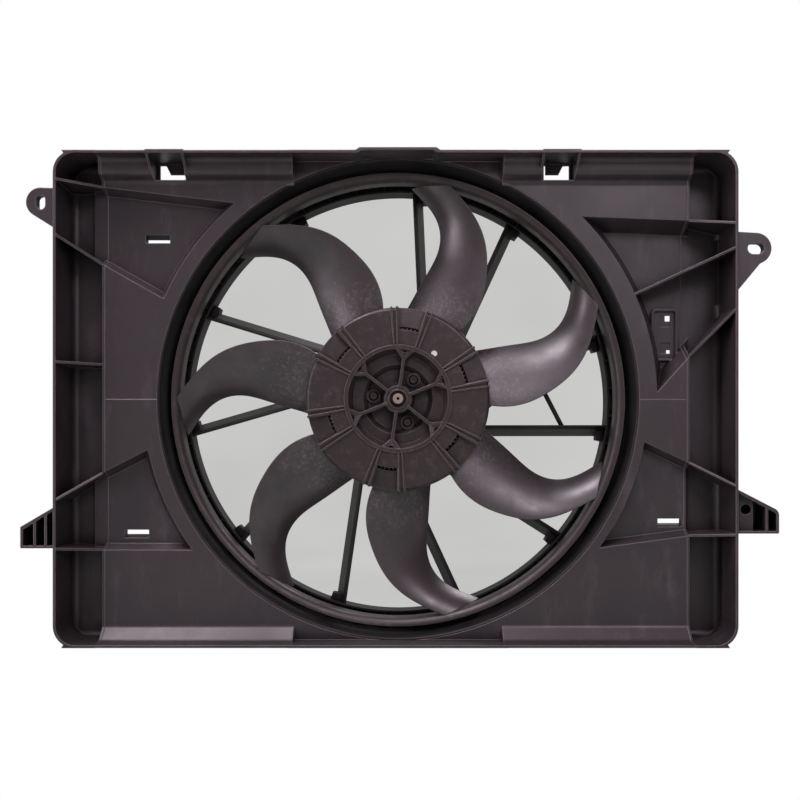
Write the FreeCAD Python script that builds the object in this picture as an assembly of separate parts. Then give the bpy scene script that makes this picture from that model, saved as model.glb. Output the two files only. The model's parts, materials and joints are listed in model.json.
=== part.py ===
import FreeCAD, Part
import math
import os
from FreeCAD import Vector

# Radiator cooling fan: a moulded plenum shroud, a banded fan and the electric motor that turns it.
# Millimetres. X is to the right and Z up as seen from the radiator, Y runs from radiator to engine.
# Shapes are drawn about the fan's axis, with the plenum's rim at Y = 0. save() moves each one so that
# the origin is the middle of the whole part's box.

# Plenum rim, from the fan's axis to the outside of each wall
rim_left = 328.2
rim_right = 323.9
rim_top = 235.5
rim_bottom = 238.5
rim_corner_radius = 21.0
wall = 2.5
raised_half_width = 36.5
raised_height = 2.5
flange_overhang = 13.0
flange_depth = 12.0

# Plenum face, side channels and the stepped ledges along the top and bottom walls
face_depth = 28.0
channel_depth = 50.0
channel_width = 35.7
channel_round = 6.0
shelf_width = 11.0
ledge_depth = 14.5
top_ledge_drop = 15.5
top_slope_drop = 20.0
bottom_slope_rise = 13.0
ledge_inner_end = 102.0
ledge_round = 5.5
rib_thickness = 2.4
left_middle_rib_height = 34.0

# Recessed corner pockets
pocket_inner_radius = 250.0
lower_right_pocket_radius = 245.0
pocket_depth = 40.0
side_draft = 0.45
arc_draft = 0.5
steep_draft = 0.25
pocket_slot_width = 24.0
pocket_slot_height = 8.0
pocket_slot_ramp = 3.0
pocket_slot_places = [(-238.5, 159.5), (-259.4, -133.0), (269.6, -122.0)]
slot_collar_depth = 10.0
slot_collar_wall = 1.6

# Connector holder in the upper right pocket: each window is open past a spring tongue in one corner
holder_place = (266.4, 65.5)
holder_half_width = 13.0
holder_half_height = 26.0
holder_height = 3.0
holder_rounds = (3.0, 5.0)
holder_rim = 2.0
holder_windows = [(-13.0, -1, (3.8, 3.6)), (14.0, 1, (5.2, 5.6))]
holder_window_width = 10.0
holder_window_height = 11.0
holder_window_shift = 1.5

# Snap recesses in the top wall
snap_places = [-222.7, 156.5]
snap_width = 31.6
snap_drop = 19.0
snap_depth = 36.0
snap_hole_width = 25.0
snap_hole_drops = (1.8, 18.0)
snap_tongue_length = 9.0
snap_tongue_end = 13.0
snap_tongue = 2.2
snap_pad = 0.8

# Barrel round the fan, and the stationary ring behind the fan's band
band_tip_gap = 9.5
barrel_rear = 86.0
barrel_edge_round = 2.2
rear_lip_overlap = 1.5
rear_lip_thickness = 2.0
rear_lip_front = 74.0
rear_floor = 83.5
rear_lip_rear = 96.0
rear_ring_count = 4
labyrinth_ribs = 48
labyrinth_rib_thickness = 1.4

# Stator vanes and the cradle that they carry
vane_angles = [17.5, 57.5, 84.8, 120.0, 155.3, 188.3, 220.8, 254.1, 287.0, 319.8, 352.3]
vane_offset = 29.0
vane_thickness = 4.2
vane_pitch = 22.0
vane_front = 76.0
vane_chord = 20.0
vane_nose = 3.2
vane_foot_width = 13.5
vane_foot_length = 8.0
cradle_radius = 91.0
cradle_plate = 3.5
cradle_wall = 3.0
cradle_window = (60.5, 67.0)
cradle_window_half_angle = 20.0
clip_front = 80.0
clip_thickness = 3.0

# Ears and feet outside the side walls
ear_front = 1.5
ear_thickness = 9.0
upper_left_ear = (-340.2, 186.0)
upper_left_ear_radius = 14.0
upper_left_slot = (8.5, 13.7)
upper_right_ear = (341.0, 142.0)
upper_right_ear_radius = 14.8
upper_right_slot = (15.7, 10.9)
upper_right_waist = (345.0, 127.5)
lower_left_tip = 359.7
lower_right_tip = 363.1
foot_depth = 30.0
foot_wall = 2.4
foot_boss_reach = 16.6
foot_boss_front = 8.0
foot_recess = (333.6, -107.0)
foot_recess_radius = 4.9

# Fan: hub, blades and band
blade_count = 7
first_blade_angle = 116.0
band_throat_radius = 216.5
band_flare = 8.0
band_thickness = 2.4
band_front = 37.0
band_rear = 56.0
blade_front = 30.0
blade_tip_rear = 68.0
hub_radius = 89.7
hub_face = 23.0
hub_rear = 66.0
hub_skin = 3.0
hub_edge_round = 4.0
hub_rib_ring_outer = 52.7
hub_rib_ring_inner = 48.8
hub_rib_height = 1.3
hub_mid_depth = 32.0
hub_deep_depth = 37.0
hub_deep_radius = 29.5
hub_cone = 5.0
hub_bowl_slope = 4.5
hub_boss_radius = 12.7
hub_boss_foot_radius = 17.0
hub_boss_front = 26.0
hub_window_count = 6
first_window_angle = 21.0
window_half_angle = 8.5
window_inner_radius = 67.5
window_depth = 3.0
window_outer_depth = 6.0
window_slot_width = 3.2
window_teeth = 4
window_tooth_width = 1.3
window_rib_angles = (9.7, 13.2)
window_rib_width = 1.9
spoke_width = 2.9
spoke_front = 24.5
spoke_fork = 40.0
spoke_fork_half_angle = 11.0
hub_hole_radius = 2.9
hub_hole_place = 56.7
hub_hole_angle = 51.5

# Blade sections from hub to band: share of the span, middle angle past the first blade, half chord
# angle, depth of the front edge, depth of the rear edge. The first and last lie past the blade's ends.
blade_sections = [
    (-0.045, 2.5, 19.0, 36.0, 63.5),
    (0.113, -0.1, 16.6, 35.5, 63.5),
    (0.286, -0.6, 13.6, 36.0, 63.5),
    (0.476, 0.5, 10.1, 37.0, 63.5),
    (0.673, 3.8, 7.7, 38.0, 63.5),
    (0.870, 10.8, 6.3, 39.0, 64.0),
    (1.075, 18.8, 4.8, 39.5, 65.0),
]
blade_thickness = 3.4
blade_edge_thickness = 1.3
blade_camber = 4.5

# Motor
shaft_radius = 5.0
shaft_front = 17.5
shaft_centre_hole = 1.3
running_clearance = 0.05
free_gap = 1.0
can_radius = 55.0
can_wall = 3.0
can_front = 57.0
can_length = 54.0
lug_reach = 76.0
lug_width = 18.0
lug_radius = 68.0
lug_count = 3
lug_angle = 90.0
cap_thickness = 3.0
bearing_radius = 13.0
bearing_length = 8.0
bearing_housing_wall = 3.0
magnet_count = 4
magnet_inner_radius = 45.0
magnet_length = 32.0
magnet_span = 62.0
armature_radius = 43.5
armature_slots = 12
winding_radius = 36.0
winding_length = 6.0
commutator_radius = 14.0
commutator_length = 9.0
brush_width = 7.0
brush_length = 13.0
brush_gap = 0.3
drive_plate_radius = 33.0
drive_plate_thickness = 3.0
drive_plate_boss_radius = 9.0
drive_plate_boss_length = 9.0

# Screws
hub_screw_circle = 24.4
hub_screw_angle = 52.0
hub_screw_count = 3
hub_screw_radius = 2.5
hub_screw_head_radius = 4.2
hub_screw_head_height = 3.2
hub_screw_collar_radius = 6.8
hub_screw_collar_height = 2.2
cross_recess_width = 1.0
motor_screw_radius = 3.0
motor_screw_head_radius = 5.5
motor_screw_head_height = 3.6
motor_screw_length = 16.0
fit_clearance = 0.3

# Places worked out from the sizes above
inner_left = -rim_left + wall
inner_right = rim_right - wall
inner_top = rim_top - wall
inner_bottom = -rim_bottom + wall
face_left = inner_left + channel_width
face_right = inner_right - channel_width
shelf_left = face_left - shelf_width
band_lip_radius = band_throat_radius + band_flare
barrel_radius = band_lip_radius + band_tip_gap
barrel_outer = barrel_radius + wall
rear_lip_radius = band_throat_radius - rear_lip_overlap
far = 2000.0
y_axis = Vector(0, 1, 0)
rear_cap_face = can_front + can_length
motor_rear = rear_cap_face + cap_thickness + bearing_length
armature_front = can_front + bearing_length - 2 + winding_length + free_gap
commutator_front = rear_cap_face - free_gap - commutator_length
armature_rear = commutator_front - free_gap - winding_length
brush_front = commutator_front + free_gap
box_low = Vector(-lower_left_tip, 0, -rim_bottom)
box_high = Vector(lower_right_tip, motor_rear, rim_top + raised_height)
box_middle = (box_low + box_high) * 0.5


# Shapes drawn about the fan's axis
def at(x, z, y=0.0):
    return Vector(x, y, z)


def polar(radius, angle, y=0.0):
    turn = math.radians(angle)
    return Vector(radius * math.cos(turn), y, radius * math.sin(turn))


def cylinder(radius, front, rear, x=0.0, z=0.0):
    return Part.makeCylinder(radius, rear - front, Vector(x, front, z), y_axis)


def ring(outer, inner, front, rear, x=0.0, z=0.0):
    return cylinder(outer, front, rear, x, z).cut(cylinder(inner, front - 1, rear + 1, x, z))


def block(x0, x1, z0, z1, front, rear):
    return Part.makeBox(x1 - x0, rear - front, z1 - z0, Vector(x0, front, z0))


def polygon(points):
    return Part.makePolygon(list(points) + [points[0]])


def slab(points, front, rear):
    """Prism between two depths over an outline of (x, z) points."""
    wire = polygon([Vector(x, front, z) for x, z in points])
    return Part.Face(wire).extrude(Vector(0, rear - front, 0))


def rounded_wire(corners, to_space):
    """Closed wire over (u, v, radius) corners, with a tangent arc in each corner that has a radius."""
    edges = []
    ends = []
    for index, (u, v, radius) in enumerate(corners):
        here = Vector(u, v, 0)
        before = Vector(*corners[index - 1][:2], 0) - here
        after = Vector(*corners[(index + 1) % len(corners)][:2], 0) - here
        before.normalize()
        after.normalize()
        if radius == 0:
            ends.append((here, here, None))
            continue
        half = before.getAngle(after) / 2
        reach = radius / math.tan(half)
        middle = before + after
        middle.normalize()
        top = here + middle * (radius / math.sin(half) - radius)
        ends.append((here + before * reach, here + after * reach, top))
    for index, (start, stop, top) in enumerate(ends):
        if top is not None:
            edges.append(Part.Arc(to_space(start), to_space(top), to_space(stop)).toShape())
        following = ends[(index + 1) % len(ends)][0]
        if (following - stop).Length > 1e-6:
            edges.append(Part.LineSegment(to_space(stop), to_space(following)).toShape())
    return Part.Wire(edges)


def rounded_slab(corners, front, rear):
    wire = rounded_wire(corners, lambda point: Vector(point.x, front, point.y))
    return Part.Face(wire).extrude(Vector(0, rear - front, 0))


def turned(corners):
    """Solid of revolution about the fan's axis from (radius, depth, rounding) corners."""
    wire = rounded_wire(corners, lambda point: Vector(point.x, point.y, 0))
    return Part.Face(wire).revolve(Vector(0, 0, 0), y_axis, 360)


def about_axis(shape, angle):
    """Copy of a shape, turned about the fan's axis from +X towards +Z."""
    copy = shape.copy()
    copy.rotate(Vector(0, 0, 0), y_axis, -angle)
    return copy


def pattern(shape, count, first=0.0):
    return [about_axis(shape, first + 360.0 * index / count) for index in range(count)]


def sector(inner, outer, half_angle, centre_angle, front, rear):
    """Wedge between two radii and two depths."""
    reach = outer / math.cos(math.radians(half_angle)) + 5
    rise = reach * math.tan(math.radians(half_angle))
    wedge = slab([(0, 0), (reach, -rise), (reach, rise)], front, rear)
    return about_axis(wedge.common(ring(outer, inner, front - 1, rear + 1)), centre_angle)


def joined(shapes):
    return shapes[0].multiFuse(shapes[1:]).removeSplitter()


def without(shape, cutters):
    result = shape
    for cutter in cutters:
        result = result.cut(cutter)
    return result


def save(name, shape):
    moved = shape.copy()
    moved.translate(-box_middle)
    moved.exportStep("parts/" + name + ".step")


# Plenum panel: a uniform wall round the space that the air passes through. space(0) is that space,
# space(wall) is the outside of the moulding.
def rim_outline(grow):
    corner = rim_corner_radius - wall + grow
    box = rounded_slab([
        (inner_left - grow, inner_bottom - grow, corner),
        (inner_right + grow, inner_bottom - grow, corner),
        (inner_right + grow, inner_top + grow, corner),
        (inner_left - grow, inner_top + grow, corner),
    ], 0, far)
    return box.fuse(raised_space(grow))


def raised_space(grow):
    half = raised_half_width - wall + grow
    top = inner_top + raised_height + grow
    return slab([(-half - 4, inner_top - 5), (half + 4, inner_top - 5), (half + 4, inner_top + grow),
                 (half, top), (-half, top), (-half - 4, inner_top + grow)], 0, face_depth + grow)


def ledge_profile(grow):
    """Section of the face with its stepped ledges, as (depth, z) corners."""
    step = ledge_depth + grow
    floor = face_depth + grow
    top = inner_top + grow
    bottom = inner_bottom - grow
    return [
        (-grow, top, 0),
        (step, top - 1, ledge_round),
        (step + 1.5, top - top_ledge_drop, ledge_round),
        (floor, top - top_slope_drop, ledge_round),
        (floor, bottom + bottom_slope_rise, ledge_round),
        (step + 2, bottom + 1, ledge_round),
        (-grow, bottom, 0),
    ]


def face_space(grow):
    wire = rounded_wire(ledge_profile(grow), lambda point: Vector(0, point.x, point.y))
    section = Part.Face(wire)
    section.translate(Vector(face_left - grow, 0, 0))
    full = section.extrude(Vector(face_right - face_left + 2 * grow, 0, 0))
    half = ledge_inner_end + grow
    middle = block(-half, half, inner_bottom - grow, inner_top + grow, -grow, face_depth + grow)
    return full.fuse(middle).fuse(raised_space(grow))


def channel_space(grow):
    """Deep channels along both side walls, with the pockets' shelves left out of the left one."""
    depth = channel_depth + grow
    spaces = []
    for near, other in ((inner_left, face_left), (face_right, inner_right)):
        space = block(near - grow, other + grow, inner_bottom - grow, inner_top + grow, -grow, depth)
        floor_edges = [edge for edge in space.Edges
                       if all(abs(vertex.Y - depth) < 0.01 for vertex in edge.Vertexes)]
        spaces.append(space.makeFillet(channel_round + grow, floor_edges))
    shelves = [slab(outline, pocket_depth + grow, far) for outline in shelf_outlines(grow)]
    return without(spaces[0], shelves).fuse(spaces[1])


def shelf_outlines(grow):
    """Outlines of the two shelves by which the left pockets reach into the channel."""
    left = shelf_left + grow
    right = face_left + wall + 1
    return [
        [(left, 139.5 + grow), (right, 132.2 + grow), (right, 208 - grow), (left, 208 - grow)],
        [(left, -146.5 + grow), (right, -147.6 + grow), (right, -72.6 - grow), (left, -79.5 - grow)],
    ]


def sloped_side(start, end, draft, grow):
    """What a pocket loses outside one straight side. The pocket lies to the left of start to end."""
    along = at(*end) - at(*start)
    along.normalize()
    inward = Vector(-along.z, 0, along.x)
    depth = far / 2
    section = [(-grow, 0), (-far, 0), (-far, depth), (draft * depth - grow, depth)]
    base = at(*start, face_depth) - along * far
    wire = polygon([base + inward * across + y_axis * down for across, down in section])
    return Part.Face(wire).extrude(along * (2 * far))


def pocket_space(sides, radius, draft, floor, grow, wall_x):
    """Recess behind the face, bounded by straight sides and by a cone about the fan's axis."""
    low, high = sorted((wall_x, 0))
    space = block(low, high, inner_bottom, inner_top, face_depth, floor + grow)
    drop = floor + grow - face_depth
    cone = Part.makeCone(radius - grow, radius - grow + draft * drop, drop,
                         Vector(0, face_depth, 0), y_axis)
    return without(space, [cone] + [sloped_side(*side, side_draft, grow) for side in sides])


# Corner pockets: each straight side runs with the pocket on its left
upper_left_sides = [((-160, 192.4), (face_left, 207.6)), ((face_left, 208), (inner_left, 208)),
                    ((inner_left, 152.5), (-230.6, 98.9))]
lower_left_sides = [((-246.2, -50.1), (inner_left, -90.5)), ((inner_left, -147.6), (-205.1, -148.0))]
lower_right_sides = [((inner_right, -80.0), (240.4, -41.3)), ((201.6, -145.2), (face_right, -134.0))]
upper_right_sides = [((face_right, 175.0), (177.1, 179.2)), ((251.6, 3.8), (face_right, 42.0)),
                     ((inner_right, 170.0), (face_right, 175.0)), ((face_right, 42.0), (inner_right, 83.7))]


def pockets(grow):
    left = shelf_left - grow
    return [
        pocket_space(upper_left_sides, pocket_inner_radius, arc_draft, pocket_depth, grow, left),
        pocket_space(lower_left_sides, pocket_inner_radius, arc_draft, pocket_depth, grow, left),
        pocket_space(lower_right_sides, lower_right_pocket_radius, steep_draft, pocket_depth, grow,
                     face_right + shelf_width + grow),
        pocket_space(upper_right_sides, pocket_inner_radius + 4, arc_draft, channel_depth, grow,
                     inner_right + grow),
    ]


def snap_recesses(grow):
    """Pockets through the top ledge for the snap tongues."""
    half = snap_width / 2 + grow
    return [block(x - half, x + half, inner_top - snap_drop - grow, inner_top + grow, -grow,
                  snap_depth + grow) for x in snap_places]


def snap_cheeks():
    """Side walls of the snap recesses, which stand before the ledge like gussets, and the rim's pads."""
    pieces = []
    for x in snap_places:
        for side in (-1, 1):
            cheek = x + side * (snap_width / 2 + rib_thickness / 2)
            pieces.append(channel_rib((cheek, inner_top + 1), (cheek, inner_top - top_slope_drop - 1),
                                      snap_depth))
        half = snap_width / 2 + rib_thickness
        pieces.append(block(x - half, x + half, rim_top - 1, rim_top + snap_pad, 0, flange_depth))
    return pieces


def channel_rib(wall_point, face_point, rear=channel_depth):
    """Web whose front edge falls from the rim to the face."""
    start = at(*wall_point)
    end = at(*face_point)
    along = end - start
    across = Vector(-along.z, 0, along.x)
    across.normalize()
    corners = [start, end + y_axis * face_depth, end + y_axis * rear, start + y_axis * rear]
    web = Part.Face(polygon([corner - across * (rib_thickness / 2) for corner in corners]))
    return web.extrude(across * rib_thickness)


def channel_ribs():
    return [
        channel_rib((inner_left, 208), (face_left, 208)),
        channel_rib((inner_left, 155), (face_left, 132.2)),
        channel_rib((inner_left, left_middle_rib_height), (face_left, left_middle_rib_height)),
        channel_rib((inner_left, -97.3), (face_left, -72.6)),
        channel_rib((inner_left, -144.3), (face_left, -147.6)),
        channel_rib((inner_right, 166.4), (face_right, 175.0)),
        channel_rib((inner_right, 83.7), (face_right, 42.0)),
        channel_rib((inner_right, -84.0), (face_right, -62.4)),
        channel_rib((inner_right, -131.0), (face_right, -134.0)),
        channel_rib((inner_right, 142.6), (232.0, 102.8)),
    ]


def slot_holes():
    """Slots in the pockets' floors. The side away from the fan narrows the slot in a ramp."""
    holes = []
    half = pocket_slot_height / 2
    rear = pocket_depth + slot_collar_depth
    for x, z in pocket_slot_places:
        side = 1 if z > 0 else -1
        section = [(face_depth, z + side * half), (pocket_depth, z + side * half),
                   (rear, z + side * (half - pocket_slot_ramp)), (far, z + side * (half - pocket_slot_ramp)),
                   (far, z - side * half), (face_depth, z - side * half)]
        wire = polygon([Vector(x - pocket_slot_width / 2, depth, height) for depth, height in section])
        holes.append(Part.Face(wire).extrude(Vector(pocket_slot_width, 0, 0)))
    return holes


def slot_collars():
    half_x = pocket_slot_width / 2 + slot_collar_wall
    half_z = pocket_slot_height / 2 + slot_collar_wall
    rear = pocket_depth + slot_collar_depth
    return [block(x - half_x, x + half_x, z - half_z, z + half_z, pocket_depth, rear)
            for x, z in pocket_slot_places]


def snap_holes():
    """Openings in the snap recesses, with a low step in the middle of their lower edge."""
    half = snap_hole_width / 2
    high, low = [inner_top - drop for drop in snap_hole_drops]
    return [block(x - half, x + half, low, high, face_depth, far).cut(
        block(x - half * 0.6, x + half * 0.6, low, low + 1.6, face_depth, far)) for x in snap_places]


def snap_tongues():
    """Tapered tongue that hangs in each snap hole, its upright side towards the fan."""
    tongues = []
    high = inner_top - snap_hole_drops[0] + 1
    low = high - 1 - snap_tongue_length
    for x in snap_places:
        inward = -1 if x > 0 else 1
        upright = x + inward * (snap_hole_width / 2 - 1.5)
        outline = [(upright, high), (upright, low), (upright - inward * snap_tongue_end, low),
                   (upright - inward * (snap_tongue_end + 5), high)]
        tongues.append(slab(outline, snap_depth, snap_depth + snap_tongue))
    return tongues


def flange_ends():
    """Straight top and bottom flanges that run on past the rounded rim corners."""
    ends = []
    reach = rim_corner_radius
    for side, edge in ((-1, -rim_left), (1, rim_right)):
        inner = edge - side * (reach + 4)
        outer = edge - side * (reach - flange_overhang)
        tip = outer - side * 3
        for outside, inside in ((rim_top, inner_top), (-rim_bottom, inner_bottom)):
            drop = inside - (outside - inside)
            ends.append(slab([(inner, outside), (outer, outside), (tip, drop), (tip - side * 3, inside),
                              (inner, inside)], 0, flange_depth))
    return ends


def holder_outline(inset, front, rear):
    x, z = holder_place
    half_x = holder_half_width - inset
    half_z = holder_half_height - inset
    low, high = holder_rounds
    return rounded_slab([(x - half_x, z - half_z, low - inset), (x + half_x, z - half_z, low - inset),
                         (x + half_x, z + half_z, high - inset), (x - half_x, z + half_z, high - inset)],
                        front, rear)


def connector_holder():
    """Raised rim with a floor behind it, and what is cut out of the floor."""
    front = channel_depth - holder_height
    frame = holder_outline(0, front, channel_depth + wall)
    cutters = [holder_outline(holder_rim, front - 1, channel_depth)]
    x, z = holder_place
    half_z = holder_window_height / 2
    right = x + holder_window_shift + holder_window_width / 2
    left = right - holder_window_width
    for rise, side, (width, height) in holder_windows:
        middle = z + rise
        cutters.append(block(left, right, middle - half_z, middle + half_z, front, channel_depth + 1))
        low, high = sorted((middle + side * half_z, middle + side * (half_z - height)))
        cutters.append(block(right - width, right, low, high, front, far))
    return frame, cutters


def plenum():
    outside = face_space(wall).fuse([channel_space(wall)] + pockets(wall) + snap_recesses(wall))
    inside = face_space(0).fuse([channel_space(0)] + pockets(0) + snap_recesses(0))
    shell = outside.common(rim_outline(wall)).cut(inside.common(rim_outline(0)))
    frame, windows = connector_holder()
    shell = shell.fuse(channel_ribs() + snap_cheeks() + slot_collars() + flange_ends() + [frame])
    opening = cylinder(barrel_outer, face_depth, far)
    shell = without(shell, [opening] + slot_holes() + snap_holes() + windows)
    return shell.fuse(snap_tongues()).removeSplitter()


def save_plenum():
    """The moulding, parted on flat planes so that each stretch is a simple shape."""
    body = plenum()
    left_cut = face_left + wall
    right_cut = face_right - wall
    save("plenum_left_channel", body.common(block(-far, left_cut, -far, far, -1, far)))
    save("plenum_right_channel", body.common(block(right_cut, far, -far, far, -1, far)))
    save("plenum_upper_face", body.common(block(left_cut, right_cut, 0, far, -1, far)))
    save("plenum_lower_face", body.common(block(left_cut, right_cut, -far, 0, -1, far)))


# Barrel round the fan, and the stationary ring with its labyrinth ribs behind the fan's band
def fan_barrel():
    return turned([
        (barrel_radius, face_depth, barrel_edge_round),
        (barrel_outer, face_depth, 0),
        (barrel_outer, barrel_rear, 0),
        (barrel_radius, barrel_rear, 0),
    ])


def rear_ring():
    lip_outer = rear_lip_radius + rear_lip_thickness
    body = turned([
        (barrel_radius, barrel_rear, 0),
        (lip_outer, barrel_rear, 0),
        (lip_outer, rear_lip_rear, 0),
        (rear_lip_radius, rear_lip_rear, 0),
        (rear_lip_radius, rear_lip_front, 0),
        (lip_outer, rear_lip_front, 0),
        (lip_outer, rear_floor, 0),
        (barrel_radius, rear_floor, 0),
    ])
    rib = block(lip_outer - 1, barrel_radius, -labyrinth_rib_thickness / 2, labyrinth_rib_thickness / 2,
                rear_lip_front + 1.5, rear_floor + 1).common(cylinder(barrel_radius, 0, far))
    first = 180.0 / labyrinth_ribs
    return joined([body] + pattern(rib, labyrinth_ribs, first))


def save_barrel():
    """The barrel, and the ring behind it in equal arcs."""
    save("fan_barrel", fan_barrel())
    whole = rear_ring()
    half = math.pi / rear_ring_count
    reach = barrel_outer * 2
    wedge = slab([(0, 0), (reach, -reach * math.tan(half)), (reach, reach * math.tan(half))], 0, far)
    for index, arc in enumerate(pattern(wedge, rear_ring_count, 180.0 / rear_ring_count), 1):
        save("rear_ring_%d" % index, whole.common(arc))


# Stator vanes, brace and cradle
def vane_frame(angle):
    """Outer end of a vane on the rear lip, its direction inwards and its clockwise side."""
    outer = polar(rear_lip_radius, angle)
    lean = math.degrees(math.asin(vane_offset / rear_lip_radius))
    inward = polar(1, angle + 180 + lean)
    clockwise = Vector(-inward.z, 0, inward.x)
    return outer, inward, clockwise


def stator_vane(angle):
    """Vane pitched across the air stream, its front edge the anticlockwise one, with a foot."""
    outer, inward, clockwise = vane_frame(angle)
    half = vane_thickness / 2
    slope = math.tan(math.radians(vane_pitch))
    rear = vane_front + vane_chord
    section = [(-half, vane_front + vane_nose), (-half * 0.4, vane_front), (half * 0.4, vane_front),
               (half, vane_front + vane_nose), (half, rear), (-half, rear)]
    start = outer - inward * 12
    corners = []
    for across, depth in section:
        lean = (depth - vane_front - vane_chord / 2) * slope
        corners.append(start + clockwise * (across + lean) + y_axis * depth)
    bar = Part.Face(polygon(corners)).extrude(inward * (rear_lip_radius - cradle_radius + 60))
    foot_front = vane_front + vane_nose + 3
    foot_corners = [outer - inward * 6 + clockwise * 0.3, outer - inward * 6 + clockwise * vane_foot_width,
                    outer + inward * vane_foot_length + clockwise * (vane_foot_width - 3),
                    outer + inward * vane_foot_length + clockwise * 0.3]
    foot = Part.Face(polygon([corner + y_axis * foot_front for corner in foot_corners]))
    foot = foot.extrude(y_axis * (rear - foot_front))
    return bar.fuse(foot).common(ring(rear_lip_radius, cradle_radius, 0, far)).removeSplitter()


def vane_brace(first_vane, last_vane):
    """Round rod between the two vanes on the right."""
    start = Vector(151.5, vane_front + 9, 10.5)
    stop = Vector(171.0, vane_front + 9, -27.0)
    along = stop - start
    rod = Part.makeCylinder(2.4, along.Length + 24, start - along * (12 / along.Length), along)
    return without(rod, [first_vane, last_vane])


def middle_solid(shape, place):
    """The solid of a cut shape that lies nearest a place."""
    return min(shape.Solids, key=lambda solid: (solid.CenterOfMass - place).Length)


def motor_cradle():
    """Hub ring that the vanes carry, with a collar round the motor and a boss for each lug."""
    plate_front = vane_front + 3
    rear = vane_front + vane_chord
    collar = can_radius + fit_clearance
    body = turned([
        (collar, plate_front, 0),
        (cradle_radius - cradle_wall, plate_front, 0),
        (cradle_radius - cradle_wall, vane_front, 0),
        (cradle_radius, vane_front, 0),
        (cradle_radius, rear, 0),
        (cradle_radius - cradle_wall, rear, 0),
        (cradle_radius - cradle_wall, plate_front + cradle_plate, 0),
        (collar + cradle_wall, plate_front + cradle_plate, 0),
        (collar + cradle_wall, rear + 4, 0),
        (collar, rear + 4, 0),
    ])
    boss = cylinder(7.5, plate_front + 1, rear - 1, lug_radius, 0)
    web = block(collar + 1, cradle_radius - 1, -1.2, 1.2, plate_front + 1, rear - 3)
    hole = cylinder(motor_screw_radius - 0.2, 0, plate_front + 13, lug_radius, 0)
    body = joined([body] + pattern(boss, lug_count, lug_angle) + pattern(web, 2 * lug_count, lug_angle))
    window = sector(*cradle_window, cradle_window_half_angle, 0, plate_front - 1,
                    plate_front + cradle_plate + 1)
    return without(body, pattern(hole, lug_count, lug_angle)
                   + pattern(window, 2 * lug_count, lug_angle + 90.0 / lug_count))


def cradle_clip():
    """Small clip beside the hub: a thin arm from the cradle's rim and a stepped head at its end."""
    rim = cradle_radius
    rear = clip_front + clip_thickness
    arm = slab([(rim - 3.0, -8.6), (rim - 1.8, -10.0), (rim + 13.4, 2.0), (rim + 12.2, 3.4)],
               clip_front, rear)
    arm = arm.cut(cylinder(rim, 0, far))
    head = [block(rim + 11.6, rim + 14.2, -3.9, 3.4, clip_front - 1, rear),
            block(rim + 14.2, rim + 17.4, -3.2, 1.3, clip_front, rear),
            block(rim + 17.4, rim + 20.4, -2.6, 0.7, clip_front + 0.5, rear)]
    return joined([arm] + head)


# Ears and feet
def oblong_hole(centre, size, front, rear):
    width, height = size
    x, z = centre
    radius = min(size) / 2
    if width > height:
        half = (width - height) / 2
        holes = [cylinder(radius, front, rear, x - half, z), cylinder(radius, front, rear, x + half, z),
                 block(x - half, x + half, z - radius, z + radius, front, rear)]
    else:
        half = (height - width) / 2
        holes = [cylinder(radius, front, rear, x, z - half), cylinder(radius, front, rear, x, z + half),
                 block(x - radius, x + radius, z - half, z + half, front, rear)]
    return joined(holes)


def upper_ear(centre, radius, wall_x, top_rise, wall_low, slot, waist=None):
    """Flat ear: a round end that runs straight to the side wall above and tapers to it below."""
    x, z = centre
    side = 1 if x > wall_x else -1
    rear = ear_front + ear_thickness
    low_angle = -55 if side > 0 else 235
    touch = polar(radius, low_angle)
    outline = [(x, z + radius), (wall_x, z + radius + top_rise), (wall_x, wall_low)]
    if waist:
        outline.append(waist)
    outline.append((x + touch.x, z + touch.z))
    outline.append((x, z))
    plate = slab(outline, ear_front, rear)
    body = plate.fuse(cylinder(radius, ear_front, rear, x, z))
    wall_side = block(min(wall_x, wall_x - side * far), max(wall_x, wall_x - side * far), -far, far, 0, far)
    cutters = [wall_side, oblong_hole(centre, slot, ear_front - 1, rear + 1)]
    return without(body, cutters).removeSplitter()


def foot_boss():
    """Solid corner of the right foot beside the rim, and the round recess in it."""
    corner = block(rim_right, rim_right + foot_boss_reach, -far, far, foot_boss_front, foot_depth)
    x, z = foot_recess
    return corner, cylinder(foot_recess_radius, 0, foot_depth - foot_wall, x, z)


def lower_foot(side, tip, rim_high, tip_high, low, ribs, corner, boss=None):
    """Hollow wedge with webs, open to the front, that drops into the radiator's bracket."""
    edge = rim_right if side > 0 else -rim_left
    end = side * tip
    outer = rounded_slab([(edge, rim_high, 0), (end, tip_high, corner), (end, low, 1.2), (edge, low, 0)],
                         ear_front, foot_depth)
    inner = rounded_slab([(edge, rim_high - 1.25 * foot_wall, 0),
                          (end - side * foot_wall, tip_high - foot_wall, corner / 2),
                          (end - side * foot_wall, low + foot_wall, 0),
                          (edge, low + foot_wall, 0)], ear_front - 1, foot_depth - foot_wall)
    half = foot_wall / 2
    webs = [block(x - half, x + half, low, rim_high, ear_front, foot_depth) for x in ribs]
    body = outer.cut(inner).fuse([web.common(outer) for web in webs])
    if boss:
        solid_corner, recess = boss
        body = body.fuse(solid_corner.common(outer)).cut(recess)
    return body.removeSplitter()


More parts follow.
